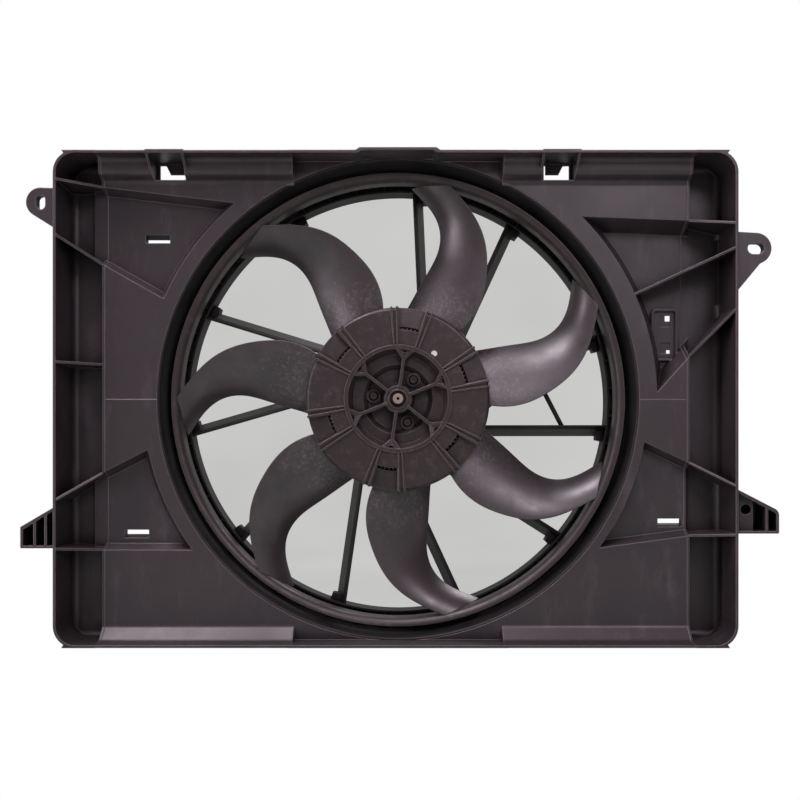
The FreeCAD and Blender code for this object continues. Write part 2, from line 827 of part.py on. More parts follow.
# Fan
def fan_band():
    centre_r = band_lip_radius
    inner_arc = band_lip_radius - band_throat_radius
    outer_arc = inner_arc - band_thickness
    centre_y = band_front + inner_arc
    diagonal = math.sqrt(0.5)

    def point(radius, depth):
        return Vector(radius, depth, 0)

    edges = [
        Part.LineSegment(point(band_throat_radius, band_rear), point(band_throat_radius, centre_y)),
        Part.Arc(point(band_throat_radius, centre_y),
                 point(centre_r - inner_arc * diagonal, centre_y - inner_arc * diagonal),
                 point(centre_r, band_front)),
        Part.LineSegment(point(centre_r, band_front), point(centre_r, band_front + band_thickness)),
        Part.Arc(point(centre_r, band_front + band_thickness),
                 point(centre_r - outer_arc * diagonal, centre_y - outer_arc * diagonal),
                 point(centre_r - outer_arc, centre_y)),
        Part.LineSegment(point(centre_r - outer_arc, centre_y), point(centre_r - outer_arc, band_rear)),
        Part.LineSegment(point(centre_r - outer_arc, band_rear), point(band_throat_radius, band_rear)),
    ]
    wire = Part.Wire([edge.toShape() for edge in edges])
    return Part.Face(wire).revolve(Vector(0, 0, 0), y_axis, 360)


def band_bore():
    """The space inside the band and before it, which trims the blade tips to the flared mouth."""
    inner_arc = band_lip_radius - band_throat_radius
    centre_y = band_front + inner_arc
    diagonal = math.sqrt(0.5)
    edges = [
        Part.LineSegment(Vector(0, blade_front, 0), Vector(band_lip_radius, blade_front, 0)),
        Part.LineSegment(Vector(band_lip_radius, blade_front, 0), Vector(band_lip_radius, band_front, 0)),
        Part.Arc(Vector(band_lip_radius, band_front, 0),
                 Vector(band_lip_radius - inner_arc * diagonal, centre_y - inner_arc * diagonal, 0),
                 Vector(band_throat_radius, centre_y, 0)),
        Part.LineSegment(Vector(band_throat_radius, centre_y, 0),
                         Vector(band_throat_radius, blade_tip_rear, 0)),
        Part.LineSegment(Vector(band_throat_radius, blade_tip_rear, 0), Vector(0, blade_tip_rear, 0)),
        Part.LineSegment(Vector(0, blade_tip_rear, 0), Vector(0, blade_front, 0)),
    ]
    wire = Part.Wire([edge.toShape() for edge in edges])
    return Part.Face(wire).revolve(Vector(0, 0, 0), y_axis, 360)


def blade_section(share_out, middle, half_chord, front, rear):
    """Cambered section, square to the radius: its leading edge is the clockwise one, nearest the rim."""
    radius = hub_radius + share_out * (band_throat_radius - hub_radius)
    turn = math.radians(first_blade_angle + middle)
    centre = Vector(radius * math.cos(turn), 0, radius * math.sin(turn))
    clockwise = Vector(math.sin(turn), 0, -math.cos(turn))
    half = radius * math.tan(math.radians(half_chord))
    chord = math.hypot(2 * half, rear - front)
    lean = Vector(2 * half / chord, (front - rear) / chord, 0)
    normal = Vector((front - rear) / chord, -2 * half / chord, 0)

    def point(share, offset):
        across = -half + share * 2 * half + normal.x * offset
        depth = rear + share * (front - rear) + normal.y * offset
        return centre + clockwise * across + y_axis * depth

    shares = [0.0, 0.2, 0.5, 0.8, 1.0]
    upper = []
    lower = []
    for share in shares:
        bow = 4 * share * (1 - share)
        half_thick = (blade_edge_thickness + (blade_thickness - blade_edge_thickness) * bow) / 2
        upper.append(point(share, blade_camber * bow + half_thick))
        lower.append(point(share, blade_camber * bow - half_thick))
    front_side = Part.BSplineCurve()
    front_side.interpolate(upper)
    rear_side = Part.BSplineCurve()
    rear_side.interpolate(lower[::-1])
    return Part.Wire([
        front_side.toShape(),
        Part.LineSegment(upper[-1], lower[-1]).toShape(),
        rear_side.toShape(),
        Part.LineSegment(lower[0], upper[0]).toShape(),
    ])


def fan_blade():
    loft = Part.makeLoft([blade_section(*row) for row in blade_sections], True, False)
    trimmed = loft.common(band_bore())
    return trimmed.cut(cylinder(hub_radius, 0, far))


def hub_window(grow):
    """Recess that deepens towards the hub's edge. Grown, it is the skin round the recess."""
    angle = window_half_angle + math.degrees(grow / hub_radius)
    inner = window_inner_radius - grow
    outer = hub_radius + 2
    front = hub_face + 0.5 if grow else 0
    wedge = sector(inner, outer, angle, 0, front, hub_face + window_outer_depth + grow)
    slope = polygon([
        Vector(inner, hub_face + window_depth + grow, -50),
        Vector(outer, hub_face + window_outer_depth + grow, -50),
        Vector(outer, far, -50),
        Vector(inner, far, -50),
    ])
    return wedge.cut(Part.Face(slope).extrude(Vector(0, 0, 100)))


def hub_spoke():
    """Rib across the bowl that forks to the rib ring, with a web and a small pocket in the fork."""
    half = spoke_width / 2
    rear = hub_mid_depth + 1
    fork_front = hub_face - hub_rib_height + 0.3
    straight = block(hub_boss_radius - 1, spoke_fork + 1, -half, half, spoke_front, hub_deep_depth + 1)
    foot = Vector(spoke_fork, spoke_front, 0)
    arms = []
    tips = []
    for side in (-1, 1):
        tip = polar(hub_rib_ring_outer - 1, side * spoke_fork_half_angle, fork_front)
        across = Vector(foot.z - tip.z, 0, tip.x - foot.x)
        across.normalize()
        corners = [foot - across * half, tip - across * half, tip + across * half, foot + across * half]
        arms.append(Part.Face(polygon(corners)).extrude(y_axis * (rear - spoke_front)))
        tips.append(tip)
    drop = y_axis * 1.1
    web = Part.Face(polygon([foot + drop, tips[0] + drop, tips[1] + drop]))
    web = web.extrude(y_axis * (rear - spoke_front - 1))
    pocket = block(spoke_fork + 6.2, spoke_fork + 8.2, -2.3, 2.3, 0, hub_mid_depth)
    return [straight] + arms + [web.cut(pocket)]


def hub_body():
    face_rear = hub_face + hub_skin
    deep_rear = hub_deep_depth + hub_skin
    mid_rear = hub_mid_depth + hub_skin
    cone_end = hub_deep_radius + hub_cone
    bore = shaft_radius + fit_clearance
    return turned([
        (hub_radius, hub_rear, 0),
        (hub_radius, hub_face, hub_edge_round),
        (hub_rib_ring_outer, hub_face, 0),
        (hub_rib_ring_outer, hub_face - hub_rib_height, 0),
        (hub_rib_ring_inner, hub_face - hub_rib_height, 0),
        (hub_rib_ring_inner - hub_bowl_slope, hub_mid_depth, 0),
        (cone_end, hub_mid_depth, 0),
        (hub_deep_radius, hub_deep_depth, 0),
        (hub_boss_foot_radius, hub_deep_depth, 0),
        (hub_boss_radius + 0.6, hub_boss_front, 0),
        (bore + 4.2, hub_boss_front, 0),
        (bore + 4.2, hub_boss_front - 0.6, 0),
        (bore + 3, hub_boss_front - 0.6, 0),
        (bore + 3, hub_boss_front + 2.5, 0),
        (bore, hub_boss_front + 2.5, 0),
        (bore, deep_rear, 0),
        (hub_deep_radius + 1.5, deep_rear, 0),
        (cone_end + 1.5, mid_rear, 0),
        (hub_rib_ring_inner + 1.6, mid_rear, 0),
        (hub_rib_ring_inner + 2.2, face_rear, 0),
        (hub_radius - hub_skin, face_rear, 0),
        (hub_radius - hub_skin, hub_rear, 0),
    ])


def window_ribs():
    """Two parallel ribs on each side of a window, from the rib ring to the hub's edge."""
    half = math.degrees(window_rib_width / 2 / hub_radius)
    front = hub_face - hub_rib_height
    ribs = []
    for angle in window_rib_angles:
        for side in (-1, 1):
            ribs.append(sector(hub_rib_ring_outer - 1, hub_radius + 0.6, half, side * angle, front,
                               hub_face + hub_edge_round + 2))
    return ribs


def window_slot():
    """Narrow slot along a window's inner end, with a comb of teeth."""
    outer = window_inner_radius + window_slot_width
    slot = sector(window_inner_radius, outer, window_half_angle - 0.8, 0, 0, hub_mid_depth)
    teeth = []
    for index in range(window_teeth):
        angle = (index - (window_teeth - 1) / 2) * 2 * window_half_angle / (window_teeth + 1)
        tooth = block(0, outer - 1.2, -window_tooth_width / 2, window_tooth_width / 2, 0, far)
        teeth.append(about_axis(tooth, angle))
    return without(slot, teeth)


def fan_hub():
    body = hub_body()
    features = []
    cutters = []
    for index in range(hub_window_count):
        angle = first_window_angle + 360.0 * index / hub_window_count
        skin = hub_window(hub_skin).common(cylinder(hub_radius, 0, far))
        features.append(about_axis(skin, angle))
        features.extend(about_axis(rib, angle) for rib in window_ribs())
        features.extend(about_axis(piece, angle + 1) for piece in hub_spoke())
        cutters.append(about_axis(hub_window(0), angle))
        cutters.append(about_axis(window_slot(), angle))
    collars = pattern(cylinder(hub_screw_collar_radius, hub_deep_depth - hub_screw_collar_height,
                               hub_deep_depth + 1, hub_screw_circle, 0), hub_screw_count, hub_screw_angle)
    body = joined([body] + features + collars)
    screw_hole = cylinder(hub_screw_radius + fit_clearance, 0, far, hub_screw_circle, 0)
    seat = cylinder(hub_screw_head_radius + 0.6, 0, hub_deep_depth - hub_screw_collar_height + 1,
                    hub_screw_circle, 0)
    cutters += pattern(screw_hole, hub_screw_count, hub_screw_angle)
    cutters += pattern(seat, hub_screw_count, hub_screw_angle)
    cutters.append(about_axis(cylinder(hub_hole_radius, 0, far, hub_hole_place, 0), hub_hole_angle))
    return without(body, cutters)


def hub_screws():
    seat = hub_deep_depth - hub_screw_collar_height + 1
    rear = hub_deep_depth + hub_skin + drive_plate_thickness
    screw = pan_screw(hub_screw_head_radius, hub_screw_head_height, hub_screw_radius, seat, rear)
    screw.translate(Vector(hub_screw_circle, 0, 0))
    return Part.Compound(pattern(screw, hub_screw_count, hub_screw_angle))


def pan_screw(head_radius, head_height, shank_radius, seat, rear):
    """Screw along Y with a chamfered head and a cross recess."""
    front = seat - head_height
    body = turned([
        (0, front, 0), (head_radius - 1, front, 0), (head_radius, front + 1, 0), (head_radius, seat, 0),
        (shank_radius, seat, 0), (shank_radius, rear, 0), (0, rear, 0)])
    half = cross_recess_width / 2
    reach = head_radius * 0.55
    recess = block(-reach, reach, -half, half, front, front + head_height * 0.6)
    return without(body, [recess, about_axis(recess, 90)])


# Motor
def motor_shaft():
    rear = rear_cap_face + cap_thickness + bearing_length - 2
    body = cylinder(shaft_radius, shaft_front, rear)
    edge_front = turned([(shaft_radius - 0.5, shaft_front - 1, 0), (shaft_radius + 1, shaft_front - 1, 0),
                         (shaft_radius + 1, shaft_front + 1, 0)])
    return without(body, [cylinder(shaft_centre_hole, 0, shaft_front + 4), edge_front])


def drive_plate():
    front = hub_deep_depth + hub_skin
    middle = front + drive_plate_thickness
    body = cylinder(drive_plate_radius - 1.5, front, middle)
    body = body.fuse(cylinder(drive_plate_boss_radius, middle, middle + drive_plate_boss_length))
    holes = pattern(cylinder(hub_screw_radius, 0, far, hub_screw_circle, 0), hub_screw_count, hub_screw_angle)
    lightening = pattern(cylinder(4.5, 0, far, 21, 0), hub_screw_count, hub_screw_angle + 60)
    return without(body, [cylinder(shaft_radius, 0, far)] + holes + lightening)


def bearing(front):
    outer = ring(bearing_radius, bearing_radius - 2, front, front + bearing_length)
    inner = ring(bearing_radius - 3.6, shaft_radius + running_clearance, front, front + bearing_length)
    shield = ring(bearing_radius - 1, shaft_radius + 2, front + 0.6, front + bearing_length - 0.6)
    return joined([outer, shield, inner])


def motor_can():
    """Drawn steel can with a bearing seat in its front and a mounting lug over each cradle boss."""
    seat = bearing_radius
    body = turned([
        (seat, can_front - 2, 0),
        (seat + bearing_housing_wall, can_front - 2, 0),
        (seat + bearing_housing_wall, can_front + 1, 0),
        (can_radius - 3, can_front + 1, 0),
        (can_radius, can_front + 4, 0),
        (can_radius, rear_cap_face, 0),
        (can_radius - can_wall, rear_cap_face, 0),
        (can_radius - can_wall, can_front + 3 + can_wall, 0),
        (can_radius - can_wall - 2, can_front + 1 + can_wall, 0),
        (seat + bearing_housing_wall, can_front + 1 + can_wall, 0),
        (seat + bearing_housing_wall, can_front + bearing_length - 2, 0),
        (seat, can_front + bearing_length - 2, 0),
    ])
    lug_rear = vane_front + 3
    lug = block(can_radius - 1, lug_radius, -lug_width / 2, lug_width / 2, lug_rear - can_wall, lug_rear)
    lug = lug.fuse(cylinder(lug_width / 2, lug_rear - can_wall, lug_rear, lug_radius, 0))
    lug = lug.cut(cylinder(can_radius - 1, 0, far)).cut(
        cylinder(motor_screw_radius + fit_clearance, 0, far, lug_radius, 0))
    return joined([body] + pattern(lug, lug_count, lug_angle))


def motor_screws():
    seat = vane_front + 3 - can_wall
    screw = pan_screw(motor_screw_head_radius, motor_screw_head_height, motor_screw_radius - 0.2, seat,
                      seat + motor_screw_length)
    screw.translate(Vector(lug_radius, 0, 0))
    return Part.Compound(pattern(screw, lug_count, lug_angle))


def motor_end_cap():
    seat = bearing_radius
    front = rear_cap_face
    return turned([
        (seat, front, 0),
        (can_radius + 2, front, 0),
        (can_radius + 2, front + cap_thickness - 1, 0),
        (can_radius + 1, front + cap_thickness, 0),
        (seat + bearing_housing_wall + 1, front + cap_thickness, 0),
        (seat + bearing_housing_wall, front + cap_thickness + 1, 0),
        (seat + bearing_housing_wall, motor_rear - 1, 0),
        (seat + bearing_housing_wall - 1, motor_rear, 0),
        (0, motor_rear, 0),
        (0, motor_rear - 1.5, 0),
        (seat, motor_rear - 1.5, 0),
    ])


def motor_magnets():
    outer = can_radius - can_wall
    front = can_front + 9
    shell = ring(outer, magnet_inner_radius, front, front + magnet_length)
    reach = can_radius * 2
    wedge_tan = math.tan(math.radians(magnet_span / 2))
    wedge = slab([(0, 0), (reach, -reach * wedge_tan), (reach, reach * wedge_tan)], 0, far)
    return Part.Compound(pattern(shell.common(wedge), magnet_count, 45))


def armature_core():
    body = ring(armature_radius, shaft_radius, armature_front, armature_rear)
    slot = block(armature_radius - 13, armature_radius + 1, -1.6, 1.6, 0, far)
    return without(body, pattern(slot, armature_slots))


def armature_windings():
    ends = []
    for start in (armature_front - winding_length, armature_rear):
        ends.append(turned([
            (shaft_radius + 6, start, 0), (winding_radius, start, 0),
            (winding_radius, start + winding_length, 0), (shaft_radius + 6, start + winding_length, 0)]))
    return Part.Compound(ends)


def commutator():
    body = ring(commutator_radius, shaft_radius, commutator_front, commutator_front + commutator_length)
    neck = ring(shaft_radius + 5, shaft_radius, armature_rear, commutator_front)
    slot = block(commutator_radius - 1.2, commutator_radius + 1, -0.4, 0.4, commutator_front + 1, far)
    return without(body.fuse(neck), pattern(slot, armature_slots))


def brush_card():
    """Insulating card against the rear cap, with a guide for each brush."""
    front = brush_front
    rear = rear_cap_face
    plate = ring(can_radius - can_wall - fit_clearance, commutator_radius + 1.5, rear - 2, rear)
    start = commutator_radius + 1.5
    guide = block(start, start + 20, -brush_width / 2 - 1.5, brush_width / 2 + 1.5, front, rear - 1)
    guide = guide.cut(block(start - 1, start + 18.5, -brush_width / 2, brush_width / 2, front + 1.2, rear - 2))
    return joined([plate] + pattern(guide, 2))


def brushes():
    front = brush_front + 1.4
    start = commutator_radius + brush_gap
    brush = block(start, start + brush_length, -brush_width / 2 + 0.1, brush_width / 2 - 0.1, front,
                  rear_cap_face - 2.2)
    return Part.Compound(pattern(brush.cut(cylinder(start, 0, far)), 2))


def brush_springs():
    """Coil springs behind the brushes, drawn as close wound rings."""
    start = commutator_radius + brush_gap + brush_length + 0.1
    end = commutator_radius + 1.5 + 18.5 - 0.1
    depth = (brush_front + 1.4 + rear_cap_face - 2.2) / 2
    outer = Part.makeCylinder(1.9, end - start, Vector(start, depth, 0), Vector(1, 0, 0))
    inner = Part.makeCylinder(1.2, end - start, Vector(start, depth, 0), Vector(1, 0, 0))
    return Part.Compound(pattern(outer.cut(inner), 2))


def save_motor():
    save("motor_shaft", motor_shaft())
    save("drive_plate", drive_plate())
    save("motor_can", motor_can())
    save("motor_end_cap", motor_end_cap())
    save("motor_screws", motor_screws())
    save("front_bearing", bearing(can_front - 2))
    save("rear_bearing", bearing(rear_cap_face + cap_thickness - 2.5 + fit_clearance))
    save("motor_magnets", motor_magnets())
    save("armature_core", armature_core())
    save("armature_windings", armature_windings())
    save("commutator", commutator())
    save("brush_card", brush_card())
    save("brushes", brushes())
    save("brush_springs", brush_springs())


def save_stators():
    vanes = [stator_vane(angle) for angle in vane_angles]
    for index, vane in enumerate(vanes, 1):
        save("stator_vane_%d" % index, vane)
    brace = vane_brace(vanes[0], vanes[-1])
    save("vane_brace", middle_solid(brace, Vector(161, vane_front + 9, -8)))
    save("motor_cradle", motor_cradle())
    save("cradle_clip", cradle_clip())


def save_ears():
    save("upper_left_ear", upper_ear(upper_left_ear, upper_left_ear_radius, -rim_left, -0.5, 162.0,
                                     upper_left_slot))
    save("upper_right_ear", upper_ear(upper_right_ear, upper_right_ear_radius, rim_right, 1.0, 102.0,
                                      upper_right_slot, upper_right_waist))
    save("lower_left_foot", lower_foot(-1, lower_left_tip, -104.8, -123.4, -143.7, (-346.0, -335.5),
                                       0.5))
    save("lower_right_foot", lower_foot(1, lower_right_tip, -87.7, -108.0, -129.7, (351.5,), 7.0,
                                        foot_boss()))


def save_fan():
    save("fan_hub", fan_hub())
    save("fan_band", fan_band())
    for index, blade in enumerate(pattern(fan_blade(), blade_count), 1):
        save("fan_blade_%d" % index, blade)
    save("hub_screws", hub_screws())


os.makedirs("parts", exist_ok=True)
save_plenum()
save_barrel()
save_stators()
save_ears()
save_fan()
save_motor()
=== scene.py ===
import json
import math

import bpy
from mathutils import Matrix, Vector


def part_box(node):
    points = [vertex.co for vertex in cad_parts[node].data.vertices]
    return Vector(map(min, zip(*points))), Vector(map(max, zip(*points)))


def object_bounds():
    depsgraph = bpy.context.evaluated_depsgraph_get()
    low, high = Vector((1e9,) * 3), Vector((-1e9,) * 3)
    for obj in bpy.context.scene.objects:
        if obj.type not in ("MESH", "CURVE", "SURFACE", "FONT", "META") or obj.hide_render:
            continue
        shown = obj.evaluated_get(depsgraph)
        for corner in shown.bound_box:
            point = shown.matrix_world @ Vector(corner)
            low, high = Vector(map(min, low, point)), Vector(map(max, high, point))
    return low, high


# Radiator cooling fan, seen square on from the radiator's side.
# Metres, in the frame's own axes: X to the right, Z up, Y from the radiator to the engine.

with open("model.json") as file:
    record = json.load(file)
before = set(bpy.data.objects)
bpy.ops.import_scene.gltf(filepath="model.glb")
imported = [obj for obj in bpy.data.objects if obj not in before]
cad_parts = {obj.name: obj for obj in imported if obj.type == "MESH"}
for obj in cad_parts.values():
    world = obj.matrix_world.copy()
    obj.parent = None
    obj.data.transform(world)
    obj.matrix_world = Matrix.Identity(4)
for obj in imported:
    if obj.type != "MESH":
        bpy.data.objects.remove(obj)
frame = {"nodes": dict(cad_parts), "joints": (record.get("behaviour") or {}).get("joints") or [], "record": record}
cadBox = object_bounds()
nodes = frame["nodes"]
fanAxis = Vector(frame["joints"][0]["pos_m"])
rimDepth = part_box("plenum_upper_face")[0].y
mm = 0.001
acrossAxis = (1, 0, 1)  # keeps X and Z, which lie square to the fan's axis
print("frame loaded, nodes:", len(nodes))


# sRGB hex to the linear colour that a socket takes
def linear(hexColour):
    parts = [int(hexColour[i:i + 2], 16) / 255 for i in (1, 3, 5)]
    return [c / 12.92 if c <= 0.04045 else ((c + 0.055) / 1.055) ** 2.4 for c in parts] + [1]


# Adds a node: settings are properties or input values, links are outputs of other nodes
def addNode(tree, kind, settings=None, links=None):
    node = tree.nodes.new(kind)
    for name, value in (settings or {}).items():
        if isinstance(name, str) and hasattr(node, name):
            setattr(node, name, value)
        else:
            node.inputs[name].default_value = value
    for name, source in (links or {}).items():
        tree.links.new(source, node.inputs[name])
    return node


def newMaterial(name):
    material = bpy.data.materials.new(name)
    material.use_nodes = True
    tree = material.node_tree
    tree.nodes.clear()
    return material, tree


# What all the nylon finishes share; each range is the part of a pattern or mask that is used
nylon = {
    "ior": 1.56, "raySamples": 6,
    "flowDetail": 5.0, "flowBreakUp": 0.62, "flowRange": (0.36, 0.66), "roughRange": (0.3, 0.7),
    "scuffDetail": 9.0, "scuffBreakUp": 0.72, "scuffSoftness": 0.2, "grainDetail": 2.0,
    "edgeRange": (0.995, 0.8), "cornerRange": (0.3, 0.85),
}


# Nylon with glass fibre, injection moulded. The melt leaves broad cloudy patches and handling leaves
# pale scuffs. A painted highlight lightens the radiused edges, and painted shade darkens the corners.
# The tool's spark texture is about 0.2 mm wide, too fine to show, so the grain is drawn about four times as
# coarse.
def mouldedNylon(name, look):
    material, tree = newMaterial(name)
    place = addNode(tree, "ShaderNodeTexCoord").outputs["Object"]
    flow = addNode(tree, "ShaderNodeTexNoise",
                   {"Scale": 1 / (look["flowSize"] * mm), "Detail": nylon["flowDetail"],
                    "Roughness": nylon["flowBreakUp"]}, {"Vector": place}).outputs[0]
    grain = addNode(tree, "ShaderNodeTexNoise",
                    {"Scale": 1 / (look["grainSize"] * mm), "Detail": nylon["grainDetail"]},
                    {"Vector": place}).outputs[0]

    # Dusty scuffs: a wipe below 1 draws them out along that axis
    wiped = addNode(tree, "ShaderNodeVectorMath", {"operation": "MULTIPLY", 1: look["wipe"]}, {0: place})
    dust = addNode(tree, "ShaderNodeTexNoise",
                   {"Scale": 1 / (look["scuffSize"] * mm), "Detail": nylon["scuffDetail"],
                    "Roughness": nylon["scuffBreakUp"]}, {"Vector": wiped.outputs[0]}).outputs[0]
    if "wearReach" in look:
        # They are thicker near the fan's axis, where hands hold the blades
        offset = addNode(tree, "ShaderNodeVectorMath", {"operation": "SUBTRACT", 1: fanAxis}, {0: place})
        flat = addNode(tree, "ShaderNodeVectorMath", {"operation": "MULTIPLY", 1: acrossAxis},
                       {0: offset.outputs[0]})
        reach = addNode(tree, "ShaderNodeVectorMath", {"operation": "LENGTH"}, {0: flat.outputs[0]})
        near = addNode(tree, "ShaderNodeMapRange",
                       {"interpolation_type": "SMOOTHSTEP", "From Min": look["wearReach"] * mm,
                        "From Max": look["wearCore"] * mm, "To Max": look["wearLift"]},
                       {"Value": reach.outputs["Value"]})
        dust = addNode(tree, "ShaderNodeMath", {"operation": "ADD"},
                       {0: dust, 1: near.outputs[0]}).outputs[0]
    scuffMask = addNode(tree, "ShaderNodeMapRange",
                        {"From Min": look["scuffStart"],
                         "From Max": look["scuffStart"] + nylon["scuffSoftness"],
                         "To Max": look["scuffs"]}, {"Value": dust})

    # A wider rounding than the mesh has, so that edges read as moulded ones
    rounded = addNode(tree, "ShaderNodeBevel",
                      {"samples": nylon["raySamples"], "Radius": look["edgeRadius"] * mm})
    surface = addNode(tree, "ShaderNodeNewGeometry")
    facing = addNode(tree, "ShaderNodeVectorMath", {"operation": "DOT_PRODUCT"},
                     {0: rounded.outputs[0], 1: surface.outputs["Normal"]})
    # Painted highlight: where the rounding turns away from the surface, a pale colour is mixed in along the edge
    edge = addNode(tree, "ShaderNodeMapRange",
                   {"From Min": nylon["edgeRange"][0], "From Max": nylon["edgeRange"][1],
                    "To Max": look["edgeShine"]}, {"Value": facing.outputs["Value"]})

    flowMask = addNode(tree, "ShaderNodeMapRange",
                       {"From Min": nylon["flowRange"][0], "From Max": nylon["flowRange"][1]},
                       {"Value": flow})
    body = addNode(tree, "ShaderNodeMix",
                   {"data_type": "RGBA", 6: linear(look["colour"]), 7: linear(look["flowColour"])},
                   {0: flowMask.outputs[0]})
    scuffed = addNode(tree, "ShaderNodeMix", {"data_type": "RGBA", 7: linear(look["scuffColour"])},
                      {0: scuffMask.outputs[0], 6: body.outputs[2]})
    # The painted edge highlight is mixed into the base colour here
    edgeLit = addNode(tree, "ShaderNodeMix", {"data_type": "RGBA", 7: linear(look["edgeHighlightColour"])},
                   {0: edge.outputs[0], 6: scuffed.outputs[2]})

    # Painted shade: an occlusion mask makes corners and recesses darker and duller
    corner = addNode(tree, "ShaderNodeAmbientOcclusion",
                     {"samples": nylon["raySamples"], "Distance": look["cornerReach"] * mm}).outputs["AO"]
    paintedShadeFactor = addNode(tree, "ShaderNodeMapRange",
                    {"From Min": nylon["cornerRange"][0], "From Max": nylon["cornerRange"][1],
                     "To Min": look["cornerShade"]}, {"Value": corner})
    cornerShaded = addNode(tree, "ShaderNodeMix", {"data_type": "RGBA", "blend_type": "MULTIPLY", 0: 1.0},
                    {6: edgeLit.outputs[2], 7: paintedShadeFactor.outputs[0]})
    shine = addNode(tree, "ShaderNodeMath", {"operation": "MULTIPLY", 1: look["specular"]},
                    {0: paintedShadeFactor.outputs[0]})

    rough = addNode(tree, "ShaderNodeMapRange",
                    {"From Min": nylon["roughRange"][0], "From Max": nylon["roughRange"][1],
                     "To Min": look["roughness"] + look["roughSpread"],
                     "To Max": look["roughness"] - look["roughSpread"]}, {"Value": flow})
    bump = addNode(tree, "ShaderNodeBump",
                   {"Strength": look["grainStrength"], "Distance": look["grainDepth"] * mm},
                   {"Height": grain, "Normal": rounded.outputs[0]})
    # The specular socket also holds the open surface's own level, for use without the painted corner shade
    shader = addNode(tree, "ShaderNodeBsdfPrincipled",
                     {"IOR": nylon["ior"], "Specular IOR Level": look["specular"]},
                     {"Base Color": cornerShaded.outputs[2], "Roughness": rough.outputs[0],
                      "Specular IOR Level": shine.outputs[0], "Normal": bump.outputs[0]})
    addNode(tree, "ShaderNodeOutputMaterial", links={"Surface": shader.outputs[0]})
    return material


# What all the metals share
metal = {"grainDetail": 5.0, "grainStrength": 0.2, "grainDepth": 0.05, "roughSpread": 0.08,
         "boreShadeColour": "#171312"}


# Bare or plated metal, with a grain that breaks up its reflections. Turning marks and crystals are
# about 0.1 mm wide, too fine to show, so each look draws them as coarse as it needs.
def metalFinish(name, look):
    material, tree = newMaterial(name)
    place = addNode(tree, "ShaderNodeTexCoord").outputs["Object"]
    grain = addNode(tree, "ShaderNodeTexNoise",
                    {"Scale": 1 / (look["grainSize"] * mm), "Detail": metal["grainDetail"]},
                    {"Vector": place}).outputs[0]
    tone = addNode(tree, "ShaderNodeMix",
                   {"data_type": "RGBA", 6: linear(look["colour"]), 7: linear(look["shadeColour"])},
                   {0: grain})
    if "boreRadius" in look:
        # Painted shade: the drilled centre of the shaft's end is painted dark, for the shade inside the hole
        flat = addNode(tree, "ShaderNodeVectorMath", {"operation": "MULTIPLY", 1: acrossAxis}, {0: place})
        reach = addNode(tree, "ShaderNodeVectorMath",
                        {"operation": "DISTANCE", 1: (fanAxis.x, 0, fanAxis.z)}, {0: flat.outputs[0]})
        bore = addNode(tree, "ShaderNodeMath", {"operation": "LESS_THAN", 1: look["boreRadius"] * mm},
                       {0: reach.outputs["Value"]})
        tone = addNode(tree, "ShaderNodeMix", {"data_type": "RGBA", 7: linear(metal["boreShadeColour"])},
                       {0: bore.outputs[0], 6: tone.outputs[2]})
    rough = addNode(tree, "ShaderNodeMapRange",
                    {"To Min": look["roughness"] - metal["roughSpread"],
                     "To Max": look["roughness"] + metal["roughSpread"]}, {"Value": grain})
    bump = addNode(tree, "ShaderNodeBump",
                   {"Strength": metal["grainStrength"], "Distance": metal["grainDepth"] * mm},
                   {"Height": grain})
    shader = addNode(tree, "ShaderNodeBsdfPrincipled", {"Metallic": 1.0},
                     {"Base Color": tone.outputs[2], "Roughness": rough.outputs[0],
                      "Normal": bump.outputs[0]})
    addNode(tree, "ShaderNodeOutputMaterial", links={"Surface": shader.outputs[0]})
    return material


# Sizes, radii and reaches in these looks are in mm.
# The big moulding, brown black from a satin tool: soft cloudy sheen, faint wiped dust
shroudLook = {
    "colour": "#221D1F", "flowColour": "#2D2729", "scuffColour": "#6A6065", "edgeHighlightColour": "#8A7E84",
    "roughness": 0.44, "roughSpread": 0.08, "specular": 0.58, "flowSize": 110,
    "scuffSize": 18, "scuffStart": 0.54, "scuffs": 0.22, "wipe": (1.0, 1.0, 0.35),
    "grainSize": 0.9, "grainStrength": 0.3, "grainDepth": 0.07,
    "edgeRadius": 1.5, "edgeShine": 0.5, "cornerReach": 16, "cornerShade": 0.35,
}
# The blades, from a polished tool face: a clearer sheen, with rubbed patches near the hub
bladeLook = dict(shroudLook, colour="#1A1517", flowColour="#302829", scuffColour="#94878A",
                 edgeHighlightColour="#665A5D", roughness=0.38, roughSpread=0.1, specular=0.85, flowSize=28,
                 scuffSize=3.2, scuffStart=0.585, scuffs=0.3, wipe=(1.0, 1.0, 1.0),
                 wearReach=150, wearCore=95, wearLift=0.1, grainSize=0.8, grainStrength=0.22,
                 grainDepth=0.05, edgeRadius=0.8, edgeShine=0.3, cornerReach=8)
# The hub and the band: the same nylon, duller and dustier
hubLook = dict(bladeLook, colour="#1C1514", flowColour="#281F1D", scuffColour="#5A4E4C",
               edgeHighlightColour="#857976", roughness=0.44, specular=0.5, scuffSize=7, scuffStart=0.55,
               scuffs=0.35, wearLift=0.03, edgeRadius=0.9, edgeShine=0.6)
# Vanes, ring, barrel and cradle: dull, from a spark finished tool, and near black: a darker copy of the moulding's
# nylon, partly painted shade for these deep-set parts
vaneLook = dict(shroudLook, colour="#161414", flowColour="#1D1B1B", scuffColour="#2A2B2A",
                edgeHighlightColour="#3A3C3A", roughness=0.5, roughSpread=0.05, specular=0.26, flowSize=50,
                scuffSize=10, scuffStart=0.58, scuffs=0.15, edgeRadius=0.9, edgeShine=0.35)

